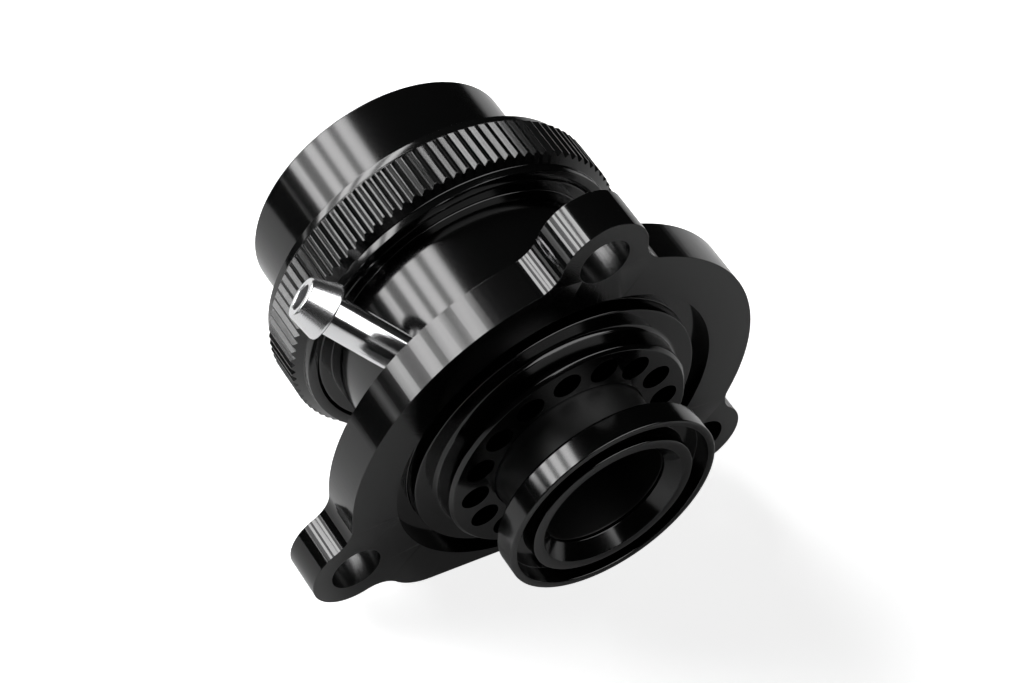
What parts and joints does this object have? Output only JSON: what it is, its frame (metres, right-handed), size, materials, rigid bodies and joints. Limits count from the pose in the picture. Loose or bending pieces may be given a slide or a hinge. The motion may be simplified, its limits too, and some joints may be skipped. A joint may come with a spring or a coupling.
{
  "type": "blow off valve",
  "caption": "Round black blow off valve with an eared mounting flange, a sprung piston nose, a ring of vent holes, a knurled union collar and a slanted hose barb.",
  "frame": {"origin": "centre of the flange's mounting face, on the valve's axis", "axes": "-Y along the valve's axis towards the nose, -Z towards the flat side of the flange, on which the part lies"},
  "size_m": [0.0614, 0.0545, 0.0574],
  "materials": {
    "black_anodised": "gloss black anodised",
    "bright_metal": "polished",
    "spring_steel": "bright drawn",
    "nylon": "matte",
    "rubber": "matte"
  },
  "bodies": {
    "valve": {"valve_body": "black_anodised", "hose_barb": "bright_metal", "cap": "black_anodised", "cap_seal": "rubber", "slip_washer": "nylon", "spring_seat": "nylon", "preload_shim": "spring_steel", "return_spring": "spring_steel"},
    "piston": {"piston": "black_anodised", "valve_head": "black_anodised", "guide_band": "nylon", "piston_seal": "rubber"},
    "collar": {"lock_collar": "black_anodised"}
  },
  "joints": [
    {"name": "piston_slide", "type": "slide", "parent": "valve", "child": "piston", "axis": [0, 1, 0], "range_m": [0, 0.006], "stiffness_N_per_m": 2000, "springref_m": -0.005, "deforming": ["return_spring"]},
    {"name": "collar_turn", "type": "hinge", "parent": "valve", "child": "collar", "pos_m": [0, 0.026, 0], "axis": [0, 1, 0], "range_deg": [0, 90]}
  ]
}
